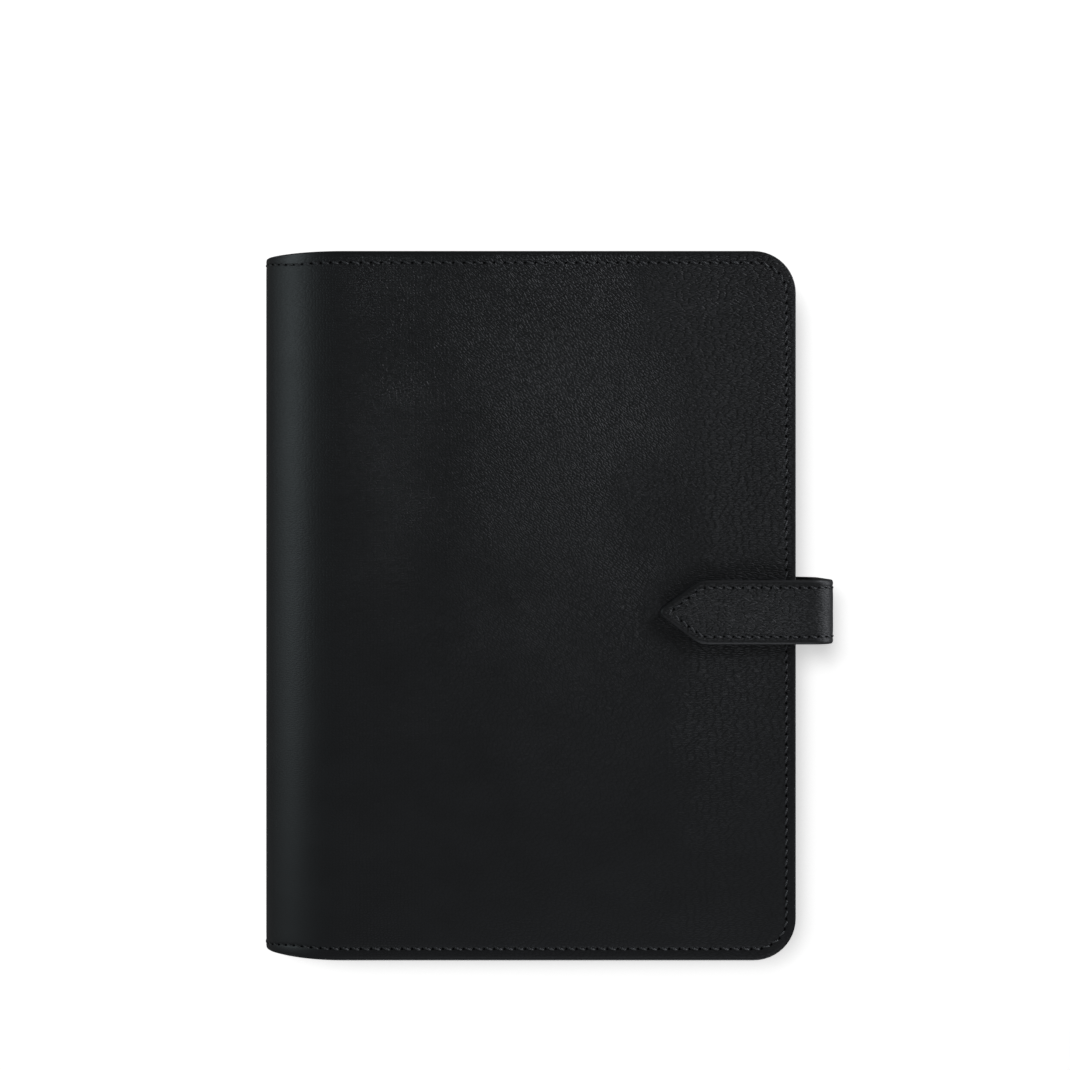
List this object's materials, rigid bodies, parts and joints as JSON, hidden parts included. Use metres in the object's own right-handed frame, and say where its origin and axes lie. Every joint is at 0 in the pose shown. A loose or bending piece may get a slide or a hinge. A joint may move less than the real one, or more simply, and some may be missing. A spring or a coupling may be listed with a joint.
{
  "type": "ring notebook cover",
  "caption": "Closed black leather notebook cover with a rounded spine, wrap-over snap strap with pointed end, inner pockets, pen loop and a page-ring mechanism.",
  "frame": {"origin": "middle of the bottom of the box round the closed cover with its strap, on the back cover's outer face", "axes": "closed cover lying on its back cover: +X towards the fore-edge and strap, -X the spine, +Y the head, +Z out of the front cover"},
  "size_m": [0.1914, 0.235, 0.0433],
  "materials": {
    "outer_leather": "satin black, fine embossed grain",
    "lining": "smooth matt black lining leather",
    "pocket_leather": "smooth black leather",
    "thread": "waxed black thread",
    "board": "grey-brown bookbinder's board, hidden",
    "ring_metal": "polished nickel plate",
    "carrier_steel": "plain sheet steel",
    "snap_metal": "nickelled brass, satin"
  },
  "bodies": {
    "back_cover": {"back_outer_leather": "outer_leather", "back_board": "board", "back_lining": "lining", "back_slip_pocket": "pocket_leather", "pen_loop": "outer_leather", "strap_anchor": "outer_leather", "back_stitching": "thread"},
    "spine": {"spine_outer_leather": "outer_leather", "spine_board": "board", "spine_lining": "lining", "spine_stitching": "thread", "ring_housing": "ring_metal", "mechanism_rivets": "ring_metal"},
    "front_cover": {"front_outer_leather": "outer_leather", "front_board": "board", "front_lining": "lining", "front_slip_pocket": "pocket_leather", "card_pocket_back": "pocket_leather", "card_pocket_middle": "pocket_leather", "card_pocket_front": "pocket_leather", "snap_stud": "snap_metal", "snap_stud_backing": "snap_metal", "front_stitching": "thread"},
    "upper_jaw": {"upper_carrier": "carrier_steel", "upper_rings": "ring_metal"},
    "lower_jaw": {"lower_carrier": "carrier_steel", "lower_rings": "ring_metal"},
    "head_trigger": {"head_trigger": "ring_metal"},
    "tail_trigger": {"tail_trigger": "ring_metal"},
    "strap_riser": {"strap_riser_leather": "outer_leather", "strap_riser_lining": "lining", "strap_riser_stitching": "thread"},
    "strap_tongue": {"strap_tongue_leather": "outer_leather", "strap_tongue_lining": "lining", "strap_tongue_stitching": "thread", "snap_socket": "snap_metal", "snap_cap": "snap_metal"}
  },
  "joints": [
    {"name": "back_fold", "type": "hinge", "parent": "back_cover", "child": "spine", "pos_m": [-0.09042, 0, 0.00523], "axis": [0, -1, 0], "range_deg": [0, 90]},
    {"name": "front_fold", "type": "hinge", "parent": "spine", "child": "front_cover", "pos_m": [-0.09042, 0, 0.03477], "axis": [0, -1, 0], "range_deg": [0, 90]},
    {"name": "ring_open", "type": "hinge", "parent": "spine", "child": "upper_jaw", "pos_m": [-0.08765, 0, 0.0257], "axis": [0, -1, 0], "range_deg": [0, 12]},
    {"name": "lower_ring_open", "type": "hinge", "parent": "spine", "child": "lower_jaw", "pos_m": [-0.08765, 0, 0.0143], "axis": [0, -1, 0], "range_deg": [-12, 0]},
    {"name": "head_trigger_push", "type": "hinge", "parent": "spine", "child": "head_trigger", "pos_m": [-0.08735, 0.0976, 0.02], "axis": [0, 0, 1], "range_deg": [0, 24]},
    {"name": "tail_trigger_push", "type": "hinge", "parent": "spine", "child": "tail_trigger", "pos_m": [-0.08735, -0.0976, 0.02], "axis": [0, 0, -1], "range_deg": [0, 24]},
    {"name": "strap_root_bend", "type": "hinge", "parent": "back_cover", "child": "strap_riser", "pos_m": [0.09213, -0.002, 0.00427], "axis": [0, 1, 0], "range_deg": [0, 90]},
    {"name": "strap_tip_bend", "type": "hinge", "parent": "strap_riser", "child": "strap_tongue", "pos_m": [0.0931, -0.002, 0.04075], "axis": [0, 1, 0], "range_deg": [0, 90]}
  ],
  "couplings": [
    {"joint": "lower_ring_open", "follows": "ring_open", "ratio": -1},
    {"joint": "head_trigger_push", "follows": "ring_open", "ratio": 2},
    {"joint": "tail_trigger_push", "follows": "ring_open", "ratio": 2}
  ]
}
